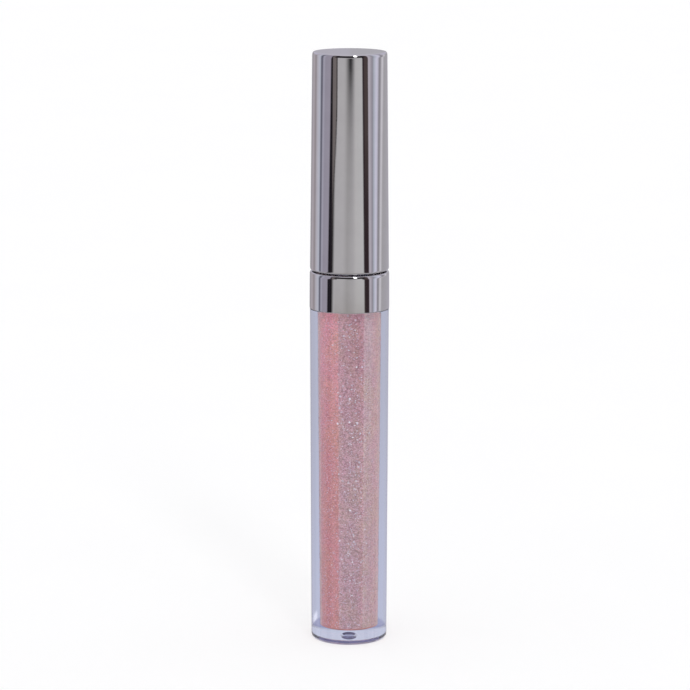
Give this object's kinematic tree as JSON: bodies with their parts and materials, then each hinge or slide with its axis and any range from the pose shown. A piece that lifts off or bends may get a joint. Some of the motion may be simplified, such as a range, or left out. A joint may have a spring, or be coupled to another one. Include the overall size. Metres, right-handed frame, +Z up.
{
  "type": "lip gloss tube",
  "caption": "Upright thick-walled clear gloss tube with a mirror-finish collar and a tall screw cap that carries a flocked doe-foot wand through a wiper.",
  "frame": {"origin": "centre of the flat ring the bottle stands on", "axes": "+Z up along the tube's axis, -Y towards the viewer, +X the side that the applicator's slanted face looks to"},
  "size_m": [0.016, 0.016, 0.1194],
  "materials": {
    "clear_plastic": "gloss",
    "shimmer_gloss": "gloss",
    "mirror_metallised": "polished",
    "wiper_plastic": "satin",
    "liner_plastic": "satin",
    "gasket_foam": "matte",
    "weight_steel": "satin",
    "stem_plastic": "satin",
    "applicator_rubber": "satin",
    "flock_fibre": "matte"
  },
  "bodies": {
    "bottle": {"bottle": "clear_plastic", "gloss_fill": "shimmer_gloss", "collar_ring": "mirror_metallised", "wiper": "wiper_plastic"},
    "cap_lift": {"cap_weight": "weight_steel"},
    "thread_lift": {"cap_gasket": "gasket_foam"},
    "cap": {"cap_shell": "mirror_metallised", "cap_liner": "liner_plastic", "wand_stem": "stem_plastic", "applicator_core": "applicator_rubber", "applicator_flocking": "flock_fibre"}
  },
  "joints": [
    {"name": "wand_pull_out", "type": "slide", "parent": "bottle", "child": "cap_lift", "axis": [0, 0, 1], "range_m": [0, 0.11]},
    {"name": "thread_rise", "type": "slide", "parent": "cap_lift", "child": "thread_lift", "axis": [0, 0, 1], "range_m": [0, 0.0036]},
    {"name": "cap_turn", "type": "hinge", "parent": "thread_lift", "child": "cap", "pos_m": [0, 0, 0.0815], "axis": [0, 0, 1], "range_deg": [0, 540]}
  ],
  "couplings": [
    {"joint": "thread_rise", "follows": "cap_turn", "m_per_rad": 0.00038197}
  ]
}
